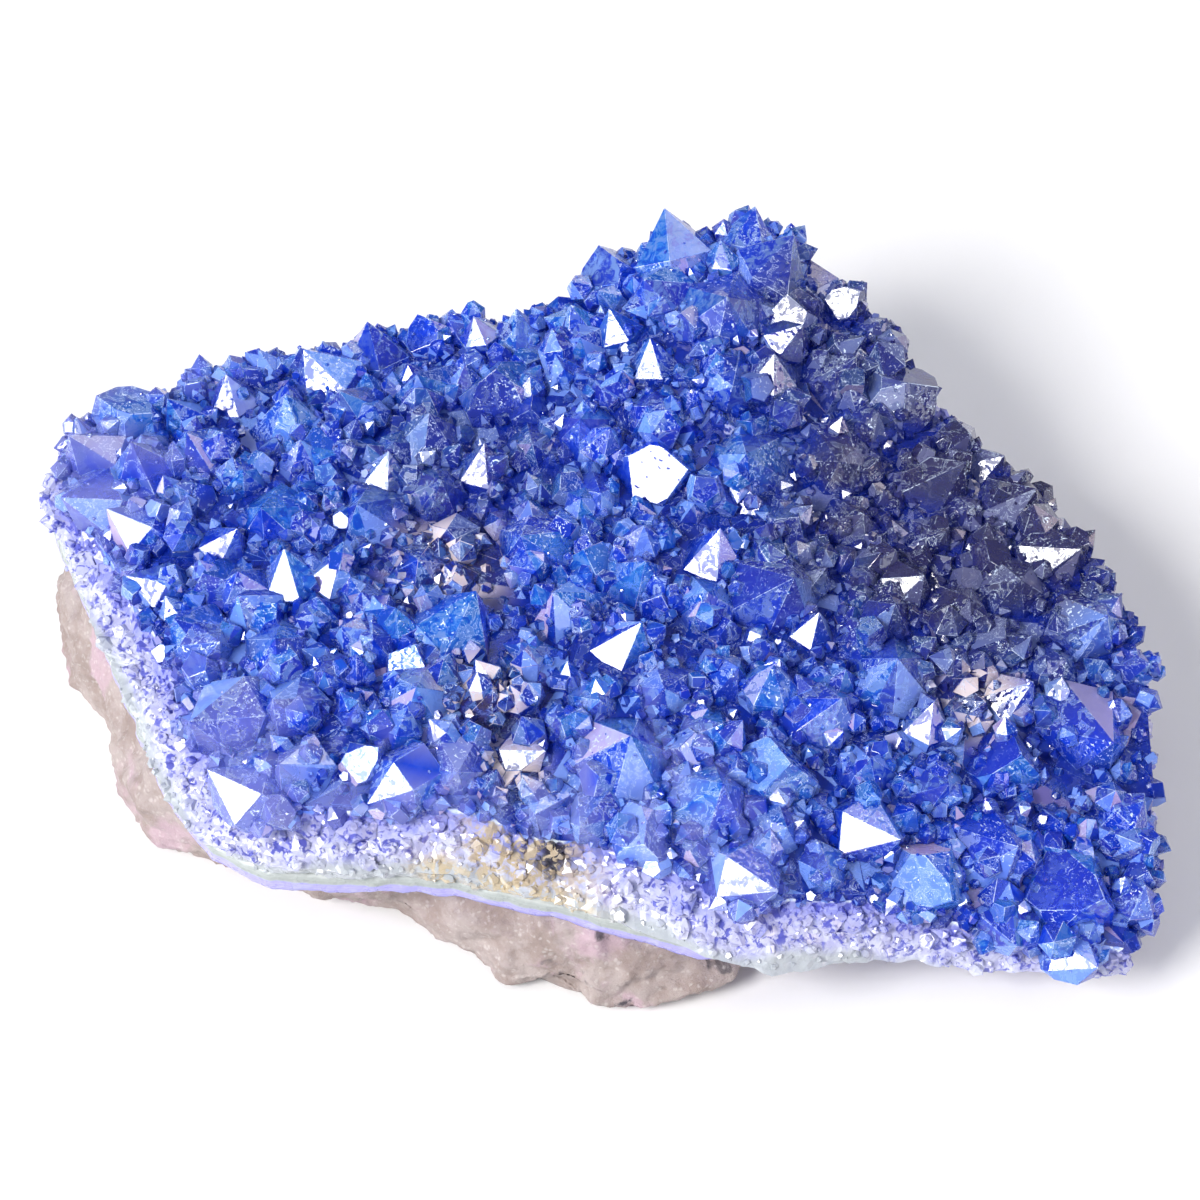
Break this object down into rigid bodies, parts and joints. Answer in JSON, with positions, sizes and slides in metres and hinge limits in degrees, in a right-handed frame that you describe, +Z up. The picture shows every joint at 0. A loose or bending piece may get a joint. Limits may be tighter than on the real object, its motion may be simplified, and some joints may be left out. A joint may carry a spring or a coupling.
{
  "type": "dyed amethyst cluster",
  "caption": "Loose broken slab of a geode wall, lying crystals up: blue-dyed amethyst points on a pale quartz root, a thin chalcedony band and brown basalt.",
  "frame": {"origin": "on the flat underside of the basalt, under the middle of the whole piece", "axes": "+Z up, out of the surface that it rests on; +X to the right along the longest side; +Y to the back, away from the picture's viewer"},
  "size_m": [0.1016, 0.0736, 0.0338],
  "materials": {
    "amethyst": "clear, dyed blue, bright natural crystal faces",
    "pale_quartz": "sugary pale lavender quartz, iron-stained in places",
    "chalcedony": "smooth, waxy, grey-green with pale edges",
    "basalt": "rough, grainy, matt"
  },
  "bodies": {
    "root": {"amethyst_points": "amethyst", "quartz_root": "pale_quartz", "chalcedony_band": "chalcedony", "basalt_matrix": "basalt"}
  },
  "joints": []
}
